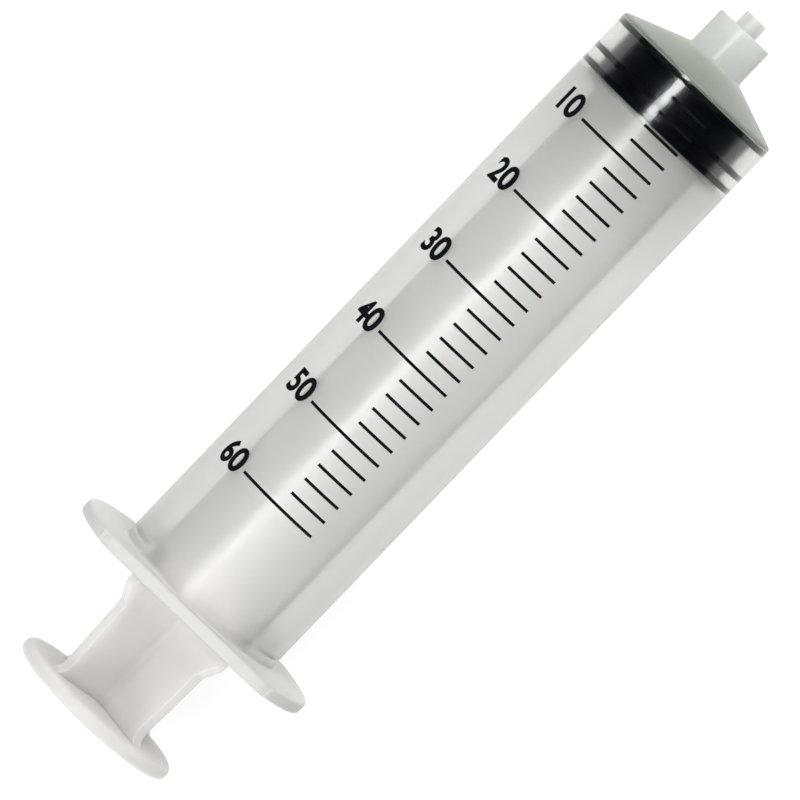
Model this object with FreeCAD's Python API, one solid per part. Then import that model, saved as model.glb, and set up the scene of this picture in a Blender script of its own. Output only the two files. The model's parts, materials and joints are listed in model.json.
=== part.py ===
# A 60 mL luer lock syringe with its plunger pushed home, lying on its side.
# The syringe's axis is the X axis and the tip points to +X. The finger flange's wings reach out
# along Y, so that the syringe lies on one flat of the flange. The origin is on the axis at the
# scale's zero line, where the front rib of the rubber stopper stands. Lengths are in millimetres.
import FreeCAD, Part
import math
import os

# Scale and bore: the printed volume and the bore give the length of the scale
capacity_ml = 60
line_step_ml = 2
numbered_step_ml = 10
bore_diameter = 28.96
barrel_wall = 1.17
reserve_length = 21.05

# Front cone and luer lock tip
cone_slope_deg = 20.5
cone_wall = 1.05
home_gap = 0.07
collar_reach = 6.8
collar_outer_diameter = 10.2
collar_inner_diameter = 8.0
collar_rim_bevel = 0.35
collar_root_bevel = 0.4
shoulder_bevel = 0.35
socket_depth = 6.4
nozzle_tip_diameter = 4.0
nozzle_tip_bevel = 0.25
nozzle_taper = 0.06
nozzle_reach = 2.6
fluid_bore_diameter = 2.2

# Lock thread: ridges inside the collar that draw a female fitting on
thread_starts = 2
thread_lead = 5.0
thread_height = 0.5
thread_width = 1.1
thread_crest = 0.33
thread_floor_gap = 0.9
thread_rim_gap = 0.35
thread_root_depth = 0.2

# Finger flange and rear mouth
flange_span = 47.0
flange_depth = 33.0
flange_thickness = 2.2
flange_corner_radius = 3.0
flange_edge_bevel = 0.4
bead_height = 0.35
bead_crest = 0.5
bead_length = 1.6
bead_setback = 3.8
mouth_bevel = 0.5

# Rubber stopper
seal_clearance = 0.04
seal_width = 1.05
long_waist = 4.3
short_waist = 1.65
waist_depth = 1.4
stopper_rear_bevel = 0.2
stopper_front_wall = 3.0
pocket_depth = 3.7
pocket_radius = 8.1
pocket_mouth_radius = 6.1

# Plunger rod
rod_clearance = 0.3
head_clearance = 0.08
head_bevel = 0.6
front_disc_thickness = 1.6
front_disc_bevel = 0.3
rib_root_thickness = 2.3
rib_edge_thickness = 1.8
rib_root_radius = 1.4
wide_run_past_flange = 2.2
step_length = 3.0
step_radius = 1.5
handle_front_radius = 11.85
handle_rear_radius = 11.1
handle_length = 20.3
thumb_disc_diameter = 30.8
thumb_disc_thickness = 2.4
thumb_edge_bevel = 0.6
thumb_flare_radius = 2.2
grip_ring_count = 3
grip_ring_pitch = 3.0
grip_ring_width = 0.8
grip_ring_depth = 0.3
first_grip_ring_radius = 4.5

# Printed scale: each line runs round the barrel, in degrees from the top towards +Y
ink_thickness = 0.05
line_width = 0.5
line_end_deg = -21.6
short_line_start_deg = 4.6
long_line_start_deg = 34.4

# Places along the axis that follow from the sizes above
bore_radius = bore_diameter / 2
barrel_radius = bore_radius + barrel_wall
mm_per_ml = 1000 / (math.pi * bore_radius**2)
slope = math.tan(math.radians(cone_slope_deg))
stopper_front = seal_width / 2
bore_front = stopper_front + home_gap
cone_offset = cone_wall / math.cos(math.radians(cone_slope_deg))
collar_radius = collar_outer_diameter / 2
fluid_radius = fluid_bore_diameter / 2
shoulder = bore_front + cone_offset - barrel_wall * slope
collar_root = shoulder + (barrel_radius - collar_radius) * slope
collar_front = collar_root + collar_reach
socket_floor = collar_front - socket_depth
nozzle_front = collar_front + nozzle_reach
nozzle_root_radius = nozzle_tip_diameter / 2 + nozzle_taper / 2 * (nozzle_front - socket_floor)
flange_front = -capacity_ml * mm_per_ml - reserve_length
flange_rear = flange_front - flange_thickness
thumb_front = flange_rear - handle_length
thumb_rear = thumb_front - thumb_disc_thickness
seal_radius = bore_radius - seal_clearance
waist_radius = seal_radius - waist_depth
stopper_rear = stopper_front - 3 * seal_width - long_waist - short_waist
pocket_front = stopper_front - stopper_front_wall
pocket_rear = pocket_front - pocket_depth
bead_radius = bore_radius - bead_height
rod_radius = bead_radius - rod_clearance

AXIS_START = FreeCAD.Vector(0, 0, 0)
ALONG_X = FreeCAD.Vector(1, 0, 0)


def sharp(before, corner, after):
    """A corner left as it is: its start, its end, and no edge between them."""
    return corner, corner, None


def bevel(setback):
    """A corner cut straight across, that far from it along both sides."""

    def finish(before, corner, after):
        start = corner + (before - corner).normalize() * setback
        end = corner + (after - corner).normalize() * setback
        return start, end, Part.makeLine(start, end)

    return finish


def rounding(radius):
    """A corner rounded by an arc of that radius."""

    def finish(before, corner, after):
        to_before = (before - corner).normalize()
        to_after = (after - corner).normalize()
        half_angle = to_before.getAngle(to_after) / 2
        setback = radius / math.tan(half_angle)
        start = corner + to_before * setback
        end = corner + to_after * setback
        inward = (to_before + to_after).normalize()
        middle = corner + inward * (radius / math.sin(half_angle) - radius)
        return start, end, Part.Arc(start, middle, end).toShape()

    return finish


def outline(corners, place):
    """A closed face through corners given as (first, second, finish), each with its own finish."""
    points = [place(first, second) for first, second, _ in corners]
    finished = []
    for i, (_, _, finish) in enumerate(corners):
        finished.append(finish(points[i - 1], points[i], points[(i + 1) % len(points)]))
    edges = []
    for (_, end, edge), (start, _, _) in zip(finished, finished[1:] + finished[:1]):
        if edge:
            edges.append(edge)
        if (start - end).Length > 1e-6:
            edges.append(Part.makeLine(end, start))
    return Part.Face(Part.Wire(edges))


def turned(corners):
    """An outline of (x, radius, finish) corners, turned a full circle about the syringe's axis."""
    face = outline(corners, lambda x, radius: FreeCAD.Vector(x, radius, 0))
    return face.revolve(AXIS_START, ALONG_X, 360)


def extruded(corners, start, end):
    """An outline of (y, z, finish) corners, extruded along the axis from start to end."""
    face = outline(corners, lambda y, z: FreeCAD.Vector(start, y, z))
    return face.extrude(ALONG_X * (end - start))


def flange_plate():
    """The finger flange: a round plate with two flats, the wings being what is left at each side."""
    plate = Part.makeCylinder(flange_span / 2, flange_thickness, ALONG_X * flange_rear, ALONG_X)
    band = Part.makeBox(
        flange_thickness,
        flange_span,
        flange_depth,
        FreeCAD.Vector(flange_rear, -flange_span / 2, -flange_depth / 2),
    )
    plate = plate.common(band)
    corners = [e for e in plate.Edges if abs(e.tangentAt(e.FirstParameter).x) > 0.99]
    plate = plate.makeFillet(flange_corner_radius, corners)
    rims = [e for e in plate.Edges if abs(e.tangentAt(e.FirstParameter).x) < 0.01]
    return plate.makeChamfer(flange_edge_bevel, rims)


def lock_thread(start_deg):
    """One start of the right-hand thread inside the lock collar, a ridge that winds up to its rim."""
    length = socket_depth - thread_floor_gap - thread_rim_gap - thread_width
    rear = socket_floor + thread_floor_gap
    root = collar_inner_diameter / 2 + thread_root_depth
    crest = collar_inner_diameter / 2 - thread_height
    flank = (thread_width - thread_crest) / 2
    section = Part.makePolygon(
        [
            FreeCAD.Vector(root, 0, 0),
            FreeCAD.Vector(crest, 0, flank),
            FreeCAD.Vector(crest, 0, thread_width - flank),
            FreeCAD.Vector(root, 0, thread_width),
            FreeCAD.Vector(root, 0, 0),
        ]
    )
    helix = Part.makeHelix(thread_lead, length, root)
    ridge = Part.Wire(helix.Edges).makePipeShell([section], True, True)
    ridge.rotate(AXIS_START, FreeCAD.Vector(0, 1, 0), 90)
    ridge.rotate(AXIS_START, ALONG_X, start_deg)
    ridge.translate(ALONG_X * rear)
    return ridge


def barrel():
    """The barrel, moulded in one piece: tube, cone, luer lock tip, finger flange and rear bead."""
    bead_middle = flange_rear + bead_setback
    tube = turned(
        [
            (nozzle_front, fluid_radius, sharp),
            (nozzle_front, nozzle_tip_diameter / 2, bevel(nozzle_tip_bevel)),
            (socket_floor, nozzle_root_radius, sharp),
            (socket_floor, collar_inner_diameter / 2, sharp),
            (collar_front, collar_inner_diameter / 2, sharp),
            (collar_front, collar_radius, bevel(collar_rim_bevel)),
            (collar_root, collar_radius, bevel(collar_root_bevel)),
            (shoulder, barrel_radius, bevel(shoulder_bevel)),
            (flange_rear, barrel_radius, sharp),
            (flange_rear, bore_radius, bevel(mouth_bevel)),
            (bead_middle - bead_length / 2, bore_radius, sharp),
            (bead_middle - bead_crest / 2, bead_radius, sharp),
            (bead_middle + bead_crest / 2, bead_radius, sharp),
            (bead_middle + bead_length / 2, bore_radius, sharp),
            (bore_front, bore_radius, sharp),
            (bore_front + (bore_radius - fluid_radius) * slope, fluid_radius, sharp),
        ]
    )
    hole = Part.makeCylinder(
        (bore_radius + barrel_radius) / 2,
        flange_thickness,
        ALONG_X * flange_rear,
        ALONG_X,
    )
    threads = [lock_thread(start * 360 / thread_starts) for start in range(thread_starts)]
    return tube.fuse([flange_plate().cut(hole), *threads])


def seal(front):
    """The corners of one sealing rib, whose front is there, from front to rear."""
    rear = front - seal_width
    return [
        (front, waist_radius, sharp),
        (front, seal_radius, sharp),
        (rear, seal_radius, sharp),
        (rear, waist_radius, sharp),
    ]


def stopper():
    """The rubber stopper: three sealing ribs, two waists, and a pocket for the plunger rod's head."""
    second_seal = stopper_front - seal_width - long_waist
    third_seal = second_seal - seal_width - short_waist
    moulding = turned(
        [
            (stopper_front, 0, sharp),
            *seal(stopper_front),
            *seal(second_seal),
            *seal(third_seal),
            (stopper_rear, pocket_mouth_radius, bevel(stopper_rear_bevel)),
            (pocket_rear, pocket_mouth_radius, sharp),
            (pocket_rear, pocket_radius, sharp),
            (pocket_front, pocket_radius, sharp),
            (pocket_front, 0, sharp),
        ]
    )
    return moulding.removeSplitter()


def rib_cross(start, end):
    """Four tapered ribs that cross on the axis at 45 degrees to the wings, with rounded inner corners."""
    reach = thumb_disc_diameter / 2
    root = rib_root_thickness / 2
    edge = rib_edge_thickness / 2
    corners = []
    for quarter in range(4):
        angle = math.radians(45 + 90 * quarter)
        for along, across, finish in [
            (root, -root, rounding(rib_root_radius)),
            (reach, -edge, sharp),
            (reach, edge, sharp),
        ]:
            y = along * math.cos(angle) - across * math.sin(angle)
            z = along * math.sin(angle) + across * math.cos(angle)
            corners.append((y, z, finish))
    return extruded(corners, start, end)


def plunger_rod():
    """The plunger rod, moulded in one piece: head, front disc, crossed ribs and thumb disc."""
    head_front = pocket_front - head_clearance
    head_rear = pocket_rear + head_clearance
    disc_front = stopper_rear - head_clearance
    disc_rear = disc_front - front_disc_thickness
    head = turned(
        [
            (head_front, 0, sharp),
            (head_front, pocket_radius - head_clearance, bevel(head_bevel)),
            (head_rear, pocket_radius - head_clearance, sharp),
            (head_rear, pocket_mouth_radius - head_clearance, sharp),
            (disc_front, pocket_mouth_radius - head_clearance, sharp),
            (disc_front, rod_radius, bevel(front_disc_bevel)),
            (disc_rear, rod_radius, sharp),
            (disc_rear, 0, sharp),
        ]
    )
    step_start = flange_rear - wide_run_past_flange
    inside_front_disc = disc_front - front_disc_thickness / 2
    inside_thumb_disc = thumb_front - thumb_disc_thickness / 2
    flare_reach = handle_rear_radius + thumb_flare_radius
    envelope = turned(
        [
            (inside_front_disc, 0, sharp),
            (inside_front_disc, rod_radius, sharp),
            (step_start, rod_radius, rounding(step_radius)),
            (step_start - step_length, handle_front_radius, rounding(step_radius)),
            (thumb_front, handle_rear_radius, rounding(thumb_flare_radius)),
            (thumb_front, flare_reach + thumb_edge_bevel, sharp),
            (inside_thumb_disc, flare_reach, sharp),
            (inside_thumb_disc, 0, sharp),
        ]
    )
    ribs = rib_cross(inside_thumb_disc, inside_front_disc).common(envelope)
    thumb_disc = turned(
        [
            (thumb_front, 0, sharp),
            (thumb_front, thumb_disc_diameter / 2, bevel(thumb_edge_bevel)),
            (thumb_rear, thumb_disc_diameter / 2, bevel(thumb_edge_bevel)),
            (thumb_rear, 0, sharp),
        ]
    )
    rod = head.fuse([ribs, thumb_disc])
    for ring in range(grip_ring_count):
        rod = rod.cut(grip_ring(first_grip_ring_radius + ring * grip_ring_pitch))
    return rod.removeSplitter()


def grip_ring(radius):
    """One of the shallow round grooves in the thumb disc's rear face."""
    outer = Part.makeCylinder(radius + grip_ring_width / 2, grip_ring_depth, ALONG_X * thumb_rear, ALONG_X)
    inner = Part.makeCylinder(radius - grip_ring_width / 2, grip_ring_depth, ALONG_X * thumb_rear, ALONG_X)
    return outer.cut(inner)


def scale_line(volume_ml):
    """One printed line of the scale, a thin strip of ink bent round the barrel's outside."""
    numbered = volume_ml % numbered_step_ml == 0
    start_deg = long_line_start_deg if numbered else short_line_start_deg
    middle = -volume_ml * mm_per_ml
    strip = outline(
        [
            (middle - line_width / 2, barrel_radius, sharp),
            (middle + line_width / 2, barrel_radius, sharp),
            (middle + line_width / 2, barrel_radius + ink_thickness, sharp),
            (middle - line_width / 2, barrel_radius + ink_thickness, sharp),
        ],
        lambda x, radius: FreeCAD.Vector(x, 0, radius),
    )
    strip.rotate(AXIS_START, ALONG_X, -start_deg)
    return strip.revolve(AXIS_START, ALONG_X, start_deg - line_end_deg)


def printed_scale():
    """All the lines of the scale, from the zero line to the full volume."""
    lines = [scale_line(volume) for volume in range(0, capacity_ml + 1, line_step_ml)]
    return Part.makeCompound(lines)


os.makedirs("parts", exist_ok=True)
nodes = {
    "barrel": barrel(),
    "printed_scale": printed_scale(),
    "stopper": stopper(),
    "plunger_rod": plunger_rod(),
}
for name, shape in nodes.items():
    shape.exportStep(f"parts/{name}.step")
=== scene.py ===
import bpy
import json
import math
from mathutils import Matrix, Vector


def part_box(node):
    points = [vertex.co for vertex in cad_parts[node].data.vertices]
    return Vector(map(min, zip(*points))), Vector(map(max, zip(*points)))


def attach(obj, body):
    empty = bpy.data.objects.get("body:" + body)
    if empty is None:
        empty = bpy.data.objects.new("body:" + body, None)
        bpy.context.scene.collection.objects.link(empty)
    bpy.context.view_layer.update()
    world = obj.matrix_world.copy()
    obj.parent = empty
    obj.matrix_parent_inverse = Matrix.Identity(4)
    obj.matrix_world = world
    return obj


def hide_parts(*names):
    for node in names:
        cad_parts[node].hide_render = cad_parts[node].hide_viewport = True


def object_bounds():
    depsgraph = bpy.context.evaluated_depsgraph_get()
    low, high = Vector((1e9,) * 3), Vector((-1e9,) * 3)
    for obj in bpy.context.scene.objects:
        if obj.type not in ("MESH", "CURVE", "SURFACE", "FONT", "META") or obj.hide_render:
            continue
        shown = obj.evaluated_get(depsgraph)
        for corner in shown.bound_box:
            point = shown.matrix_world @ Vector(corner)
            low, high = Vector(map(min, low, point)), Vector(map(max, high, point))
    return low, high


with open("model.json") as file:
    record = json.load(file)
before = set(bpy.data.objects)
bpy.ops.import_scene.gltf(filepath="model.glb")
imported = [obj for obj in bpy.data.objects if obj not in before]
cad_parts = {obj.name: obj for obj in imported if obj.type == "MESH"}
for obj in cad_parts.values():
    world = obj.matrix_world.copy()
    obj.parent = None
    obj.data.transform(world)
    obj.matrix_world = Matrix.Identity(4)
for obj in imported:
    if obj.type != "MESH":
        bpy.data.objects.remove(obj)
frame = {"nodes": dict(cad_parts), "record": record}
cad_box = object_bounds()

# Barrel: tube, front cone, luer lock tip, finger flange and rear bead, injection moulded in one
# piece of clear polypropylene. Its wall is slightly cloudy, and its flow lines run along the tube.
MM = 0.001
MOUNTS = {mount["name"]: mount for mount in frame["record"]["mounts"]}
BARREL_REAR, BARREL_FRONT = (corner.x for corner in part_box("barrel"))
BARREL_RADIUS = MOUNTS["barrel_body"]["dims"]["r_mm"] * MM
WALL = 1.17 * MM
BORE_RADIUS = BARREL_RADIUS - WALL
CONE_LEAN_DEG = 20.5
CONE_SLOPE = math.tan(math.radians(CONE_LEAN_DEG))
CONE_WALL = 1.05 * MM
STOPPER_GAP = 0.07 * MM
BORE_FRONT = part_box("stopper")[1].x + STOPPER_GAP
FLUID_RADIUS = 1.1 * MM
COLLAR_RADIUS = 5.1 * MM
COLLAR_INSIDE = MOUNTS["lock_collar"]["dims"]["r_mm"] * MM
COLLAR_FRONT = MOUNTS["lock_collar"]["pos_m"][0]
SOCKET_FLOOR = COLLAR_FRONT - MOUNTS["lock_collar"]["dims"]["length_mm"] * MM
NOZZLE_RADIUS = 2.0 * MM
NOZZLE_TAPER = 0.06
NOZZLE_ROOT = NOZZLE_RADIUS + NOZZLE_TAPER / 2 * (BARREL_FRONT - SOCKET_FLOOR)
FLANGE_THICKNESS = 2.2 * MM
FLANGE_RADIUS = 23.5 * MM
FLANGE_CORNER = 3.0 * MM
FLANGE_EDGE = 0.55 * MM
FLANGE_ROOT_ROUNDING = 0.5 * MM
FLANGE_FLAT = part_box("barrel")[1].z
BEAD_MIDDLE = BARREL_REAR + 3.8 * MM
BEAD_LENGTH = 1.6 * MM
BEAD_HEIGHT = 0.35 * MM
THREAD_LEAD = 5.0 * MM
THREAD_HEIGHT = 0.5 * MM
THREAD_WIDTH = 1.1 * MM
THREAD_CREST = 0.33 * MM
THREAD_ROOT_DEPTH = 0.2 * MM
THREAD_FLOOR_GAP = 0.9 * MM
THREAD_RIM_GAP = 0.33 * MM
THREAD_STARTS_DEG = (0, 180)
TURN_STEPS = 192
SAME_PLACE = 0.05 * MM


def rounded(corners, steps=5):
    """The points of an outline through (x, radius, rounding) corners, each rounded by an arc."""
    points = []
    for i, (x, r, rounding) in enumerate(corners):
        if not rounding:
            points.append((x, r))
            continue
        before = corners[i - 1]
        after = corners[(i + 1) % len(corners)]
        to_before = math.atan2(before[1] - r, before[0] - x)
        to_after = math.atan2(after[1] - r, after[0] - x)
        opening = (to_after - to_before + math.pi) % (2 * math.pi) - math.pi
        half = abs(opening) / 2
        middle = to_before + opening / 2
        centre_x = x + math.cos(middle) * rounding / math.sin(half)
        centre_r = r + math.sin(middle) * rounding / math.sin(half)
        sweep = math.copysign(math.pi - 2 * half, opening)
        for step in range(steps + 1):
            angle = middle + math.pi + sweep * (0.5 - step / steps)
            points.append((centre_x + rounding * math.cos(angle), centre_r + rounding * math.sin(angle)))
    return points


def drawn(name, points):
    """A new mesh of one chain of edges, drawn from point to point."""
    bpy.ops.object.select_all(action="DESELECT")
    bpy.ops.mesh.primitive_plane_add(size=MM)
    piece = bpy.context.object
    piece.name = name
    bpy.ops.object.mode_set(mode="EDIT")
    bpy.ops.mesh.merge(type="CENTER")
    bpy.ops.transform.translate(value=points[0])
    for before, after in zip(points, points[1:]):
        step = [b - a for a, b in zip(before, after)]
        bpy.ops.mesh.extrude_vertices_move(TRANSFORM_OT_translate={"value": step})
    bpy.ops.mesh.select_all(action="SELECT")
    return piece


def closed_up(piece):
    """Merges doubled points, turns the faces outwards and leaves edit mode."""
    bpy.ops.mesh.select_all(action="SELECT")
    bpy.ops.mesh.remove_doubles(threshold=0.001 * MM)
    bpy.ops.mesh.normals_make_consistent(inside=False)
    bpy.ops.object.mode_set(mode="OBJECT")
    return piece


def turned(name, corners, hollow=False):
    """An outline in x and radius, turned a full circle about the syringe's axis."""
    points = [(x, 0, r) for x, r in rounded(corners)]
    if hollow:
        points.append(points[0])
    piece = drawn(name, points)
    bpy.ops.mesh.remove_doubles(threshold=0.001 * MM)
    bpy.ops.mesh.spin(steps=TURN_STEPS, angle=2 * math.pi, center=(0, 0, 0), axis=(1, 0, 0))
    return closed_up(piece)


def combined(piece, other, operation):
    """Cuts, joins or trims a piece with another, which is used up."""
    bpy.ops.object.select_all(action="DESELECT")
    bpy.context.view_layer.objects.active = piece
    piece.select_set(True)
    modifier = piece.modifiers.new(operation, "BOOLEAN")
    modifier.operation = operation
    modifier.object = other
    modifier.solver = "EXACT"
    bpy.ops.object.modifier_apply(modifier=modifier.name)
    bpy.data.objects.remove(other)
    return piece


def select_edges(piece, wanted):
    """In edit mode, selects only the edges whose two ends and direction fit."""
    bpy.ops.mesh.select_all(action="DESELECT")
    bpy.ops.object.mode_set(mode="OBJECT")
    points = piece.data.vertices
    for edge in piece.data.edges:
        a, b = (points[i].co for i in edge.vertices)
        edge.select = wanted(a, b)
    bpy.ops.object.mode_set(mode="EDIT")


def smooth(piece, angle_deg=35):
    """Smooth shading, broken where faces meet at more than that angle."""
    bpy.ops.object.select_all(action="DESELECT")
    bpy.context.view_layer.objects.active = piece
    piece.select_set(True)
    bpy.ops.object.shade_smooth_by_angle(angle=math.radians(angle_deg))


def dress(piece, material):
    """Gives the piece one material."""
    piece.data.materials.clear()
    piece.data.materials.append(material)


def barrel_tube():
    """The round part of the barrel, hollow from the nozzle's end to the rear mouth."""
    shoulder = BORE_FRONT + CONE_WALL / math.cos(math.atan(CONE_SLOPE)) - WALL * CONE_SLOPE
    collar_root = shoulder + (BARREL_RADIUS - COLLAR_RADIUS) * CONE_SLOPE
    return turned(
        "barrel_moulding",
        [
            (BARREL_FRONT, FLUID_RADIUS, 0.1 * MM),
            (BARREL_FRONT, NOZZLE_RADIUS, 0.25 * MM),
            (SOCKET_FLOOR, NOZZLE_ROOT, 0.25 * MM),
            (SOCKET_FLOOR, COLLAR_INSIDE, 0.25 * MM),
            (COLLAR_FRONT, COLLAR_INSIDE, 0.2 * MM),
            (COLLAR_FRONT, COLLAR_RADIUS, 0.35 * MM),
            (collar_root, COLLAR_RADIUS, 0.5 * MM),
            (shoulder, BARREL_RADIUS, 0.8 * MM),
            (BARREL_REAR, BARREL_RADIUS, 0),
            (BARREL_REAR, BORE_RADIUS, 0.5 * MM),
            (BEAD_MIDDLE - BEAD_LENGTH / 2, BORE_RADIUS, 0.6 * MM),
            (BEAD_MIDDLE, BORE_RADIUS - BEAD_HEIGHT, 0.5 * MM),
            (BEAD_MIDDLE + BEAD_LENGTH / 2, BORE_RADIUS, 0.6 * MM),
            (BORE_FRONT, BORE_RADIUS, 0.3 * MM),
            (BORE_FRONT + (BORE_RADIUS - FLUID_RADIUS) * CONE_SLOPE, FLUID_RADIUS, 0.4 * MM),
        ],
        hollow=True,
    )


def finger_flange():
    """A round plate with two flats, rounded at its corners and edges, with a hole inside the wall."""
    flat_half = math.acos(FLANGE_FLAT / FLANGE_RADIUS)
    wing_steps = 24
    corners = []
    for wing_start in (flat_half, math.pi + flat_half):
        for step in range(wing_steps + 1):
            angle = wing_start + (math.pi - 2 * flat_half) * step / wing_steps
            rounding = FLANGE_CORNER if step in (0, wing_steps) else 0
            corners.append((FLANGE_RADIUS * math.sin(angle), FLANGE_RADIUS * math.cos(angle), rounding))
    plate = drawn("finger_flange", [(BARREL_REAR, y, z) for y, z in rounded(corners, steps=8)])
    bpy.ops.mesh.edge_face_add()
    bpy.ops.mesh.extrude_region_move(TRANSFORM_OT_translate={"value": (FLANGE_THICKNESS, 0, 0)})
    select_edges(plate, lambda a, b: abs(a.x - b.x) < SAME_PLACE)
    bpy.ops.mesh.bevel(offset=FLANGE_EDGE, segments=4, affect="EDGES")
    closed_up(plate)
    bpy.ops.object.select_all(action="DESELECT")
    bpy.ops.mesh.primitive_cylinder_add(
        vertices=TURN_STEPS,
        radius=BARREL_RADIUS - WALL / 2,
        depth=4 * FLANGE_THICKNESS,
        location=(BARREL_REAR, 0, 0),
        rotation=(0, math.pi / 2, 0),
    )
    return combined(plate, bpy.context.object, "DIFFERENCE")


def flange_root(piece):
    """Rounds the inner corner where the flange's front face meets the tube."""
    bpy.ops.object.mode_set(mode="EDIT")
    select_edges(
        piece,
        lambda a, b: all(
            abs(point.x - BARREL_REAR - FLANGE_THICKNESS) < SAME_PLACE
            and abs(math.hypot(point.y, point.z) - BARREL_RADIUS) < SAME_PLACE
            for point in (a, b)
        ),
    )
    bpy.ops.mesh.bevel(offset=FLANGE_ROOT_ROUNDING, segments=4, affect="EDGES")
    closed_up(piece)


def lock_thread(start_deg):
    """One of the two ridges of the right-hand thread inside the lock collar."""
    rear = SOCKET_FLOOR + THREAD_FLOOR_GAP
    root = COLLAR_INSIDE + THREAD_ROOT_DEPTH
    crest = COLLAR_INSIDE - THREAD_HEIGHT
    ridge = drawn(
        "lock_thread",
        [
            (rear, 0, root),
            (rear + (THREAD_WIDTH - THREAD_CREST) / 2, 0, crest),
            (rear + (THREAD_WIDTH + THREAD_CREST) / 2, 0, crest),
            (rear + THREAD_WIDTH, 0, root),
        ],
    )
    bpy.ops.mesh.edge_face_add()
    run = COLLAR_FRONT - THREAD_RIM_GAP - THREAD_WIDTH - rear
    steps = int(TURN_STEPS * run / THREAD_LEAD)
    turn_step = 2 * math.pi / TURN_STEPS
    for step in range(steps):
        bpy.ops.mesh.extrude_region_move(
            TRANSFORM_OT_translate={"value": (THREAD_LEAD / TURN_STEPS, 0, 0)},
        )
        bpy.ops.transform.rotate(value=-turn_step, orient_axis="X", center_override=(0, 0, 0))
    bpy.ops.mesh.select_all(action="SELECT")
    bpy.ops.transform.rotate(value=math.radians(start_deg), orient_axis="X", center_override=(0, 0, 0))
    return closed_up(ridge)


def shades_along(material, place, stops):
    """A colour ramp along the syringe's axis through (x, shade) stops, from the rear to the front."""
    nodes, links = material.node_tree.nodes, material.node_tree.links
    rear, front = stops[0][0], stops[-1][0]
    split = nodes.new("ShaderNodeSeparateXYZ")
    along = nodes.new("ShaderNodeMapRange")
    along.inputs["From Min"].default_value = rear
    along.inputs["From Max"].default_value = front
    shades = nodes.new("ShaderNodeValToRGB")
    marks = shades.color_ramp.elements
    marks[0].color = (*stops[0][1], 1)
    marks[1].color = (*stops[-1][1], 1)
    for x, shade in stops[1:-1]:
        mark = marks.new((x - rear) / (front - rear))
        mark.color = (*shade, 1)
    links.new(place.outputs["Object"], split.inputs["Vector"])
    links.new(split.outputs["X"], along.inputs["Value"])
    links.new(along.outputs["Result"], shades.inputs["Fac"])
    return shades


def clear_polypropylene():
    """Clear moulded polypropylene: hazy, milky where it is thick, with faint flow lines along it, and
    painted shade darkening the tube towards the stopper.
    """
    material = bpy.data.materials.new("clear_polypropylene")
    material.use_nodes = True
    nodes, links = material.node_tree.nodes, material.node_tree.links
    shader = nodes["Principled BSDF"]
    shader.inputs["IOR"].default_value = 1.42
    shader.inputs["Specular IOR Level"].default_value = 0
    shader.inputs["Coat Weight"].default_value = 0.12
    shader.inputs["Coat Roughness"].default_value = 0.15
    shader.inputs["Coat IOR"].default_value = 1.5
    place = nodes.new("ShaderNodeTexCoord")
    stretch = nodes.new("ShaderNodeMapping")
    stretch.inputs["Scale"].default_value = (25, 260, 260)
    flow = nodes.new("ShaderNodeTexNoise")
    flow.inputs["Scale"].default_value = 1
    flow.inputs["Detail"].default_value = 1
    unevenness = nodes.new("ShaderNodeMapRange")
    unevenness.inputs["To Min"].default_value = 0.85
    unevenness.inputs["To Max"].default_value = 1.15
    haze = nodes.new("ShaderNodeMath")
    haze.operation = "MULTIPLY"
    flange_front = BARREL_REAR + FLANGE_THICKNESS
    stopper_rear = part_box("stopper")[0].x
    collar_root = BORE_FRONT + (BARREL_RADIUS - COLLAR_RADIUS) * CONE_SLOPE
    # The wall's tint is darker at the finger flange and near white along the tube. Over the tube's front
    # quarter it is darkened towards the stopper as painted shade, where the black stopper shades the
    # wall. It is darkest and greenish on the cone, and lighter again on the collar.
    tints_with_painted_shading = [
        (BARREL_REAR, (0.7, 0.7, 0.69)),
        (flange_front, (0.7, 0.7, 0.69)),
        (flange_front + FLANGE_THICKNESS, (0.96, 0.96, 0.95)),
        (BARREL_REAR / 4, (0.96, 0.96, 0.95)),
        (stopper_rear, (0.8, 0.8, 0.79)),
        (BORE_FRONT, (0.78, 0.78, 0.77)),
        (BORE_FRONT + CONE_WALL / 2, (0.47, 0.49, 0.44)),
        (collar_root, (0.55, 0.57, 0.52)),
        (collar_root + CONE_WALL, (0.9, 0.92, 0.89)),
    ]
    hazes = [
        (BARREL_REAR, 0.33),
        (stopper_rear - 1.0 * MM, 0.33),
        (stopper_rear, 0.14),
        (BORE_FRONT, 0.14),
        (BORE_FRONT + CONE_WALL / 2, 0.33),
    ]
    clearness = [
        (BARREL_REAR, 0.2),
        (flange_front, 0.2),
        (flange_front + FLANGE_THICKNESS / 2, 1),
        (BORE_FRONT, 1),
        (BORE_FRONT + CONE_WALL / 2, 0.7),
        (collar_root, 0.5),
    ]
    tint_with_painted_shading = shades_along(material, place, tints_with_painted_shading)
    clear = shades_along(material, place, [(x, (share, share, share)) for x, share in clearness])
    roughness = shades_along(material, place, [(x, (share, share, share)) for x, share in hazes])
    bump = nodes.new("ShaderNodeBump")
    bump.inputs["Strength"].default_value = 0.02
    bump.inputs["Distance"].default_value = 0.2 * MM
    links.new(place.outputs["Object"], stretch.inputs["Vector"])
    links.new(stretch.outputs["Vector"], flow.inputs["Vector"])
    links.new(flow.outputs["Fac"], unevenness.inputs["Value"])
    links.new(unevenness.outputs["Result"], haze.inputs[0])
    links.new(roughness.outputs["Color"], haze.inputs[1])
    links.new(haze.outputs["Value"], shader.inputs["Roughness"])
    links.new(tint_with_painted_shading.outputs["Color"], shader.inputs["Base Color"])
    links.new(clear.outputs["Color"], shader.inputs["Transmission Weight"])
    links.new(flow.outputs["Fac"], bump.inputs["Height"])
    links.new(bump.outputs["Normal"], shader.inputs["Normal"])
    return material


barrel = barrel_tube()
combined(barrel, finger_flange(), "UNION")
flange_root(barrel)
for start_deg in THREAD_STARTS_DEG:
    combined(barrel, lock_thread(start_deg), "UNION")
smooth(barrel)
dress(barrel, clear_polypropylene())
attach(barrel, "barrel")
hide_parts("barrel")

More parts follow.
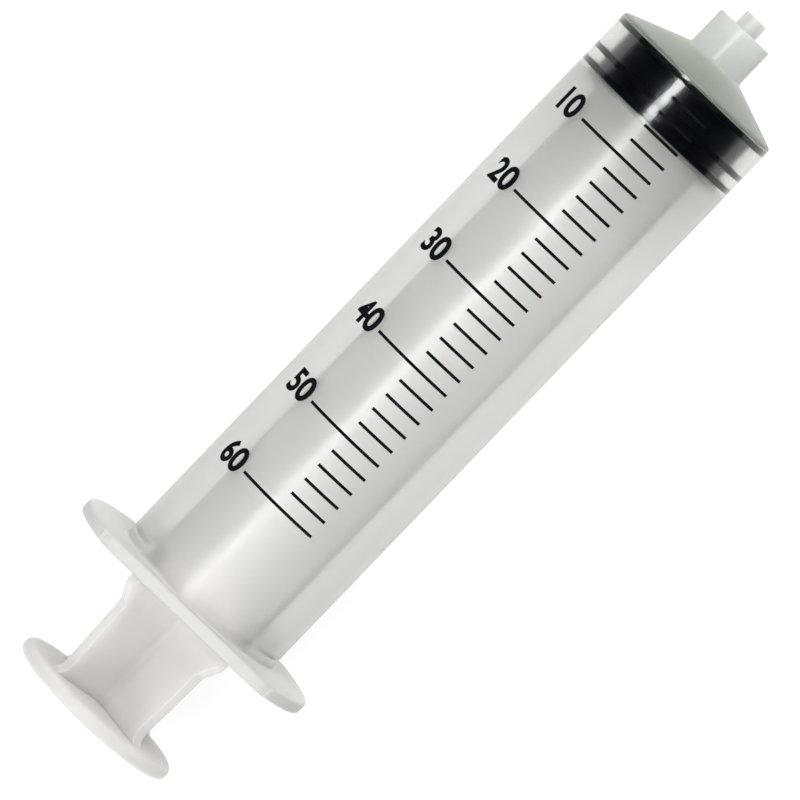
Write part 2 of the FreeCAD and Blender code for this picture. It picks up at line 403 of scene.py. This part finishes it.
# Scale: 31 lines of black ink pad-printed on the barrel, and the numbers from 10 to 60 beside
# the long lines. The ink is about as thick as paint, and it is the only opaque thing on the wall.
NUMBERED_STEP_ML = 10
CAPACITY_ML = 60
CUBIC_METRES_PER_ML = 1e-6
ML_LENGTH = CUBIC_METRES_PER_ML / (math.pi * BORE_RADIUS**2)
INK_THICKNESS = 0.05 * MM
NUMBER_HEIGHT = 4.4 * MM
NUMBER_CONDENSED = 1.06
NUMBER_MIDDLE_DEG = 48.8
NUMBER_LEAD = 0.6 * MM
NUMBER_WEIGHT = 0.03
BEND_STEP = 0.35 * MM


def printed_number(volume_ml):
    """One number of the scale, cut from flat ink and bent round the barrel beside its long line."""
    bpy.ops.object.select_all(action="DESELECT")
    bpy.ops.object.text_add()
    number = bpy.context.object
    number.name = f"scale_number_{volume_ml}"
    number.data.body = str(volume_ml)
    number.data.align_x = "CENTER"
    number.data.align_y = "CENTER"
    number.data.offset = NUMBER_WEIGHT
    bpy.ops.object.convert(target="MESH")
    size = NUMBER_HEIGHT / number.dimensions.y
    number.scale = (NUMBER_CONDENSED * size, size, 1)
    bpy.ops.object.transform_apply()
    low = [min(v.co[i] for v in number.data.vertices) for i in (0, 1)]
    high = [max(v.co[i] for v in number.data.vertices) for i in (0, 1)]
    bpy.ops.object.mode_set(mode="EDIT")
    bpy.ops.mesh.select_all(action="SELECT")
    bpy.ops.transform.translate(value=(-(low[0] + high[0]) / 2, -(low[1] + high[1]) / 2, 0))
    width = high[0] - low[0]
    for cut in range(1, int(width / BEND_STEP) + 1):
        bpy.ops.mesh.select_all(action="SELECT")
        bpy.ops.mesh.bisect(plane_co=(cut * BEND_STEP - width / 2, 0, 0), plane_no=(1, 0, 0))
    bpy.ops.mesh.select_all(action="SELECT")
    bpy.ops.mesh.remove_doubles(threshold=0.002 * MM)
    bpy.ops.mesh.quads_convert_to_tris()
    bpy.ops.object.mode_set(mode="OBJECT")
    line_x = -volume_ml * ML_LENGTH
    for vertex in number.data.vertices:
        along, up, _ = vertex.co
        angle = math.radians(NUMBER_MIDDLE_DEG) - along / BARREL_RADIUS
        vertex.co.x = line_x + NUMBER_LEAD + up
        vertex.co.y = BARREL_RADIUS * math.sin(angle)
        vertex.co.z = BARREL_RADIUS * math.cos(angle)
    bpy.ops.object.mode_set(mode="EDIT")
    bpy.ops.mesh.select_all(action="SELECT")
    bpy.ops.mesh.normals_make_consistent(inside=False)
    bpy.ops.object.mode_set(mode="OBJECT")
    ink = number.modifiers.new("ink", "SOLIDIFY")
    ink.thickness = INK_THICKNESS
    ink.offset = 1
    bpy.ops.object.modifier_apply(modifier=ink.name)
    return number


def scale_ink():
    """Black pad-printing ink: matt, with a slightly uneven cover."""
    material = bpy.data.materials.new("scale_ink")
    material.use_nodes = True
    nodes, links = material.node_tree.nodes, material.node_tree.links
    shader = nodes["Principled BSDF"]
    shader.inputs["Roughness"].default_value = 0.6
    shader.inputs["Specular IOR Level"].default_value = 0
    place = nodes.new("ShaderNodeTexCoord")
    cover = nodes.new("ShaderNodeTexNoise")
    cover.inputs["Scale"].default_value = 1800
    shades = nodes.new("ShaderNodeValToRGB")
    shades.color_ramp.elements[0].position = 0.3
    shades.color_ramp.elements[0].color = (0.004, 0.004, 0.005, 1)
    shades.color_ramp.elements[1].position = 0.75
    shades.color_ramp.elements[1].color = (0.011, 0.011, 0.012, 1)
    links.new(place.outputs["Object"], cover.inputs["Vector"])
    links.new(cover.outputs["Fac"], shades.inputs["Fac"])
    links.new(shades.outputs["Color"], shader.inputs["Base Color"])
    return material


ink = scale_ink()
dress(frame["nodes"]["printed_scale"], ink)
for volume_ml in range(NUMBERED_STEP_ML, CAPACITY_ML + 1, NUMBERED_STEP_ML):
    number = printed_number(volume_ml)
    dress(number, ink)
    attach(number, "barrel")

# Stopper: black rubber, moulded in one piece with three sealing ribs. The ribs are squeezed
# against the bore, so they wet it and show black right to the barrel's edge.
STOPPER_REAR, STOPPER_FRONT = (corner.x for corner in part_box("stopper"))
SEAL_SQUEEZE = 0.01 * MM
SEAL_RADIUS = BORE_RADIUS + SEAL_SQUEEZE
WAIST_DEPTH = 1.44 * MM
WAIST_RADIUS = BORE_RADIUS - WAIST_DEPTH
SEAL_WIDTH = 1.05 * MM
SEAL_ROUNDING = 0.08 * MM
WAIST_ROUNDING = 0.3 * MM
LONG_WAIST = 4.3 * MM
SHORT_WAIST = 1.65 * MM
POCKET_WALL = 3.0 * MM
POCKET_LENGTH = 3.7 * MM
POCKET_FRONT = STOPPER_FRONT - POCKET_WALL
POCKET_REAR = POCKET_FRONT - POCKET_LENGTH
POCKET_RADIUS = 8.1 * MM
POCKET_MOUTH = 6.1 * MM


def seal(front):
    """The corners of one sealing rib, from its front to its rear."""
    return [
        (front, WAIST_RADIUS, WAIST_ROUNDING),
        (front, SEAL_RADIUS, SEAL_ROUNDING),
        (front - SEAL_WIDTH, SEAL_RADIUS, SEAL_ROUNDING),
        (front - SEAL_WIDTH, WAIST_RADIUS, WAIST_ROUNDING),
    ]


def stopper_moulding():
    """The stopper, with the pocket for the plunger rod's head in its rear."""
    second_seal = STOPPER_FRONT - SEAL_WIDTH - LONG_WAIST
    third_seal = second_seal - SEAL_WIDTH - SHORT_WAIST
    ribs = [*seal(STOPPER_FRONT), *seal(second_seal), *seal(third_seal)]
    return turned(
        "stopper_moulding",
        [
            (STOPPER_FRONT, 0, 0),
            *ribs[1:-1],
            (STOPPER_REAR, POCKET_MOUTH, 0.3 * MM),
            (POCKET_REAR, POCKET_MOUTH, 0.3 * MM),
            (POCKET_REAR, POCKET_RADIUS, 0.3 * MM),
            (POCKET_FRONT, POCKET_RADIUS, 0.6 * MM),
            (POCKET_FRONT, 0, 0),
        ],
    )


def black_rubber():
    """Black siliconed rubber: satin, faintly blue, with a fine moulded grain."""
    material = bpy.data.materials.new("black_rubber")
    material.use_nodes = True
    nodes, links = material.node_tree.nodes, material.node_tree.links
    shader = nodes["Principled BSDF"]
    shader.inputs["Base Color"].default_value = (0.004, 0.004, 0.007, 1)
    shader.inputs["Specular IOR Level"].default_value = 0.05
    place = nodes.new("ShaderNodeTexCoord")
    grain = nodes.new("ShaderNodeTexNoise")
    grain.inputs["Scale"].default_value = 900
    gloss = nodes.new("ShaderNodeMapRange")
    gloss.inputs["To Min"].default_value = 0.5
    gloss.inputs["To Max"].default_value = 0.65
    bump = nodes.new("ShaderNodeBump")
    bump.inputs["Strength"].default_value = 0.1
    bump.inputs["Distance"].default_value = 0.05 * MM
    links.new(place.outputs["Object"], grain.inputs["Vector"])
    links.new(grain.outputs["Fac"], gloss.inputs["Value"])
    links.new(gloss.outputs["Result"], shader.inputs["Roughness"])
    links.new(grain.outputs["Fac"], bump.inputs["Height"])
    links.new(bump.outputs["Normal"], shader.inputs["Normal"])
    return material


stopper = stopper_moulding()
smooth(stopper)
dress(stopper, black_rubber())
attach(stopper, "stopper")
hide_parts("stopper")

# Plunger rod: moulded in one piece of milky polypropylene, with a head that snaps into the
# stopper, a front disc, four crossed ribs and a thumb disc with round grip grooves.
THUMB_REAR, HEAD_FRONT = (corner.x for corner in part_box("plunger_rod"))
THUMB_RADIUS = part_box("plunger_rod")[1].z
THUMB_THICKNESS = 2.4 * MM
THUMB_FRONT = THUMB_REAR + THUMB_THICKNESS
THUMB_FLARE = 2.2 * MM
HEAD_CLEARANCE = POCKET_FRONT - HEAD_FRONT
DISC_FRONT = STOPPER_REAR - HEAD_CLEARANCE
DISC_THICKNESS = 1.6 * MM
DISC_REAR = DISC_FRONT - DISC_THICKNESS
BEAD_CLEARANCE = 0.3 * MM
ROD_RADIUS = BORE_RADIUS - BEAD_HEIGHT - BEAD_CLEARANCE
STEP_GAP = 2.2 * MM
STEP_START = BARREL_REAR - STEP_GAP
STEP_LENGTH = 3.0 * MM
STEP_ROUNDING = 1.5 * MM
HANDLE_FRONT_RADIUS = 11.85 * MM
HANDLE_REAR_RADIUS = 11.1 * MM
RIB_ROOT = 2.3 * MM
RIB_EDGE = 1.8 * MM
RIB_ROOT_ROUNDING = 1.4 * MM
RIB_BURIED = 0.5 * MM
GRIP_RINGS = 3
GRIP_FIRST_RADIUS = 4.5 * MM
GRIP_PITCH = 3.0 * MM
GRIP_WIDTH = 0.8 * MM
GRIP_DEPTH = 0.3 * MM


def grip_groove(radius):
    """The corners of one round groove in the thumb disc's rear face, from outside to inside."""
    outer = radius + GRIP_WIDTH / 2
    inner = radius - GRIP_WIDTH / 2
    return [
        (THUMB_REAR, outer, 0.12 * MM),
        (THUMB_REAR + GRIP_DEPTH, outer, 0.12 * MM),
        (THUMB_REAR + GRIP_DEPTH, inner, 0.12 * MM),
        (THUMB_REAR, inner, 0.12 * MM),
    ]


def thumb_disc():
    """The round plate that the thumb pushes on."""
    grooves = []
    for ring in reversed(range(GRIP_RINGS)):
        grooves += grip_groove(GRIP_FIRST_RADIUS + ring * GRIP_PITCH)
    return turned(
        "thumb_disc",
        [
            (THUMB_FRONT, 0, 0),
            (THUMB_FRONT, THUMB_RADIUS, 1.0 * MM),
            (THUMB_REAR, THUMB_RADIUS, 1.0 * MM),
            *grooves,
            (THUMB_REAR, 0, 0),
        ],
    )


def rod_head():
    """The round head in the stopper's pocket, its neck, and the disc behind the stopper."""
    return turned(
        "rod_head",
        [
            (HEAD_FRONT, 0, 0),
            (HEAD_FRONT, POCKET_RADIUS - HEAD_CLEARANCE, 0.6 * MM),
            (POCKET_REAR + HEAD_CLEARANCE, POCKET_RADIUS - HEAD_CLEARANCE, 0.2 * MM),
            (POCKET_REAR + HEAD_CLEARANCE, POCKET_MOUTH - HEAD_CLEARANCE, 0.3 * MM),
            (DISC_FRONT, POCKET_MOUTH - HEAD_CLEARANCE, 0.3 * MM),
            (DISC_FRONT, ROD_RADIUS, 0.3 * MM),
            (DISC_REAR, ROD_RADIUS, 0.3 * MM),
            (DISC_REAR, 0, 0),
        ],
    )


def rod_envelope():
    """How far the ribs reach from the axis all along the rod, up to their flare at the thumb disc."""
    inside_disc = (DISC_FRONT + DISC_REAR) / 2
    inside_thumb = (THUMB_REAR + THUMB_FRONT) / 2
    flare_reach = HANDLE_REAR_RADIUS + THUMB_FLARE
    return turned(
        "rod_envelope",
        [
            (inside_disc, 0, 0),
            (inside_disc, ROD_RADIUS - 0.1 * MM, 0),
            (STEP_START, ROD_RADIUS, STEP_ROUNDING),
            (STEP_START - STEP_LENGTH, HANDLE_FRONT_RADIUS, STEP_ROUNDING),
            (THUMB_FRONT, HANDLE_REAR_RADIUS, THUMB_FLARE),
            (THUMB_FRONT, flare_reach + 0.6 * MM, 0),
            (inside_thumb, flare_reach, 0),
            (inside_thumb, 0, 0),
        ],
    )


def rod_ribs():
    """Four tapered ribs that cross on the axis, at 45 degrees to the finger flange's wings."""
    root = RIB_ROOT / 2
    edge = RIB_EDGE / 2
    reach = ROD_RADIUS * 1.2
    corners = []
    for quarter in range(4):
        angle = math.radians(45 + 90 * quarter)
        for along, across, rounding in [
            (root, -root, RIB_ROOT_ROUNDING),
            (reach, -edge, 0),
            (reach, edge, 0),
        ]:
            y = along * math.cos(angle) - across * math.sin(angle)
            z = along * math.sin(angle) + across * math.cos(angle)
            corners.append((y, z, rounding))
    start = THUMB_FRONT - THUMB_THICKNESS / 3
    points = [(start, y, z) for y, z in rounded(corners, steps=8)]
    cross = drawn("plunger_rod_moulding", points)
    bpy.ops.mesh.edge_face_add()
    length = DISC_REAR + RIB_BURIED - start
    bpy.ops.mesh.extrude_region_move(TRANSFORM_OT_translate={"value": (length, 0, 0)})
    closed_up(cross)
    return combined(cross, rod_envelope(), "INTERSECT")


def milky_polypropylene():
    """Milky moulded polypropylene: light goes through it but no shape shows, with a satin skin, and
    painted shade and light along it.
    """
    material = bpy.data.materials.new("milky_polypropylene")
    material.use_nodes = True
    nodes, links = material.node_tree.nodes, material.node_tree.links
    shader = nodes["Principled BSDF"]
    shader.inputs["IOR"].default_value = 1.49
    shader.inputs["Subsurface Weight"].default_value = 1
    shader.inputs["Subsurface Radius"].default_value = (1, 1, 1)
    shader.inputs["Subsurface Scale"].default_value = 5 * MM
    place = nodes.new("ShaderNodeTexCoord")
    # Painted shade and light: the rod's colour is darker on the thumb disc and handle, where the lamps
    # light them, and lighter inside the barrel, whose walls take light away.
    tints_with_painted_shading = [
        (THUMB_REAR, (0.54, 0.53, 0.52)),
        (THUMB_FRONT, (0.56, 0.55, 0.54)),
        (THUMB_FRONT + THUMB_FLARE, (0.65, 0.64, 0.63)),
        (STEP_START - STEP_LENGTH, (0.68, 0.67, 0.66)),
        (BARREL_REAR, (0.78, 0.77, 0.76)),
        (BARREL_REAR * 0.8, (0.97, 0.97, 0.96)),
        (HEAD_FRONT, (0.99, 0.99, 0.98)),
    ]
    tint_with_painted_shading = shades_along(material, place, tints_with_painted_shading)
    stretch = nodes.new("ShaderNodeMapping")
    stretch.inputs["Scale"].default_value = (40, 300, 300)
    flow = nodes.new("ShaderNodeTexNoise")
    flow.inputs["Scale"].default_value = 1
    flow.inputs["Detail"].default_value = 4
    haze = nodes.new("ShaderNodeMapRange")
    haze.inputs["To Min"].default_value = 0.5
    haze.inputs["To Max"].default_value = 0.65
    bump = nodes.new("ShaderNodeBump")
    bump.inputs["Strength"].default_value = 0.1
    bump.inputs["Distance"].default_value = 0.2 * MM
    links.new(tint_with_painted_shading.outputs["Color"], shader.inputs["Base Color"])
    links.new(place.outputs["Object"], stretch.inputs["Vector"])
    links.new(stretch.outputs["Vector"], flow.inputs["Vector"])
    links.new(flow.outputs["Fac"], haze.inputs["Value"])
    links.new(haze.outputs["Result"], shader.inputs["Roughness"])
    links.new(flow.outputs["Fac"], bump.inputs["Height"])
    links.new(bump.outputs["Normal"], shader.inputs["Normal"])
    return material


rod = rod_ribs()
combined(rod, rod_head(), "UNION")
combined(rod, thumb_disc(), "UNION")
smooth(rod)
dress(rod, milky_polypropylene())
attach(rod, "rod")
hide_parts("plunger_rod")

# Studio: the syringe lies on a plain pale floor that runs far past the view, under soft lights.
# Two strip lights high over the syringe draw the bright line along the barrel.
FLOOR_SIZE = 12.0
FLOOR_GAP = 0.03 * MM
SYRINGE_MIDDLE = (cad_box[0] + cad_box[1]) / 2
SOFTBOX_SIZE = 1.2
SOFTBOX_WATTS = 16
SOFTBOX_HEIGHT = 0.85
STRIP_WIDTH = 0.16
STRIP_ASIDE = 0.245
STRIP_HEIGHT = 1.1


def studio_floor():
    """A plain pale floor that the syringe lies on."""
    material = bpy.data.materials.new("studio_floor")
    material.use_nodes = True
    shader = material.node_tree.nodes["Principled BSDF"]
    shader.inputs["Base Color"].default_value = (0.25, 0.25, 0.25, 1)
    shader.inputs["Roughness"].default_value = 0.9
    shader.inputs["Specular IOR Level"].default_value = 0.1
    shader.inputs["Emission Color"].default_value = (1, 1, 1, 1)
    shader.inputs["Emission Strength"].default_value = 0.85
    bpy.ops.object.select_all(action="DESELECT")
    bpy.ops.mesh.primitive_plane_add(size=FLOOR_SIZE, location=(0, 0, cad_box[0].z - FLOOR_GAP))
    floor = bpy.context.object
    floor.name = "studio_floor"
    dress(floor, material)


def soft_light(name, place, size_x, size_y, watts):
    """A flat lamp at that place, facing the middle of the syringe."""
    bpy.ops.object.light_add(type="AREA", location=place)
    lamp = bpy.context.object
    lamp.name = name
    lamp.data.shape = "RECTANGLE"
    lamp.data.size = size_x
    lamp.data.size_y = size_y
    lamp.data.energy = watts
    back = lamp.location - SYRINGE_MIDDLE
    lamp.rotation_mode = "QUATERNION"
    lamp.rotation_quaternion = back.to_track_quat("Z", "Y")


studio_floor()
for name, x in (("tip_softbox", 0.95), ("thumb_softbox", -1.05)):
    soft_light(name, (x, 0, SOFTBOX_HEIGHT), SOFTBOX_SIZE, SOFTBOX_SIZE, SOFTBOX_WATTS)
for name, x, length, watts in (("tip_strip", 0.12, 0.36, 3.6), ("barrel_strip", -0.2, 0.28, 1.4)):
    soft_light(name, (x, STRIP_ASIDE, STRIP_HEIGHT), length, STRIP_WIDTH, watts)


def studio_air():
    """The room round the floor: pale near the horizon and dark overhead."""
    world = bpy.data.worlds.new("studio_air")
    world.use_nodes = True
    nodes, links = world.node_tree.nodes, world.node_tree.links
    place = nodes.new("ShaderNodeTexCoord")
    split = nodes.new("ShaderNodeSeparateXYZ")
    shade = nodes.new("ShaderNodeMapRange")
    shade.inputs["From Min"].default_value = 0
    shade.inputs["From Max"].default_value = 0.5
    shade.inputs["To Min"].default_value = 1.5
    shade.inputs["To Max"].default_value = 0.06
    links.new(place.outputs["Generated"], split.inputs["Vector"])
    links.new(split.outputs["Z"], shade.inputs["Value"])
    links.new(shade.outputs["Result"], nodes["Background"].inputs["Strength"])
    bpy.context.scene.world = world


studio_air()
bpy.context.scene.cycles.max_bounces = 24
bpy.context.scene.cycles.transmission_bounces = 24
bpy.context.scene.view_settings.view_transform = "Standard"
bpy.context.scene.view_settings.exposure = 0

# Camera: a long lens one metre above the syringe, leaning a little towards the tip, and rolled
# so that the syringe points to the upper right.
CAMERA_TARGET = (-67.2 * MM, -0.96 * MM, 0)
CAMERA_DISTANCE = 1.0
CAMERA_LEAN_DEG = 4.4
CAMERA_ROLL_DEG = 46.17
CAMERA_LENS_MM = 286


def studio_camera():
    """The camera at the photograph's angle."""
    bpy.ops.object.camera_add()
    camera = bpy.context.object
    lean = math.radians(CAMERA_LEAN_DEG)
    camera.location = (
        CAMERA_TARGET[0] + CAMERA_DISTANCE * math.sin(lean),
        CAMERA_TARGET[1],
        CAMERA_TARGET[2] + CAMERA_DISTANCE * math.cos(lean),
    )
    camera.rotation_mode = "ZYX"
    camera.data.lens = CAMERA_LENS_MM
    camera.data.sensor_width = 36
    camera.data.clip_start = 0.01
    camera.rotation_euler = (0, lean, math.radians(-CAMERA_ROLL_DEG))
    bpy.context.scene.camera = camera


studio_camera()
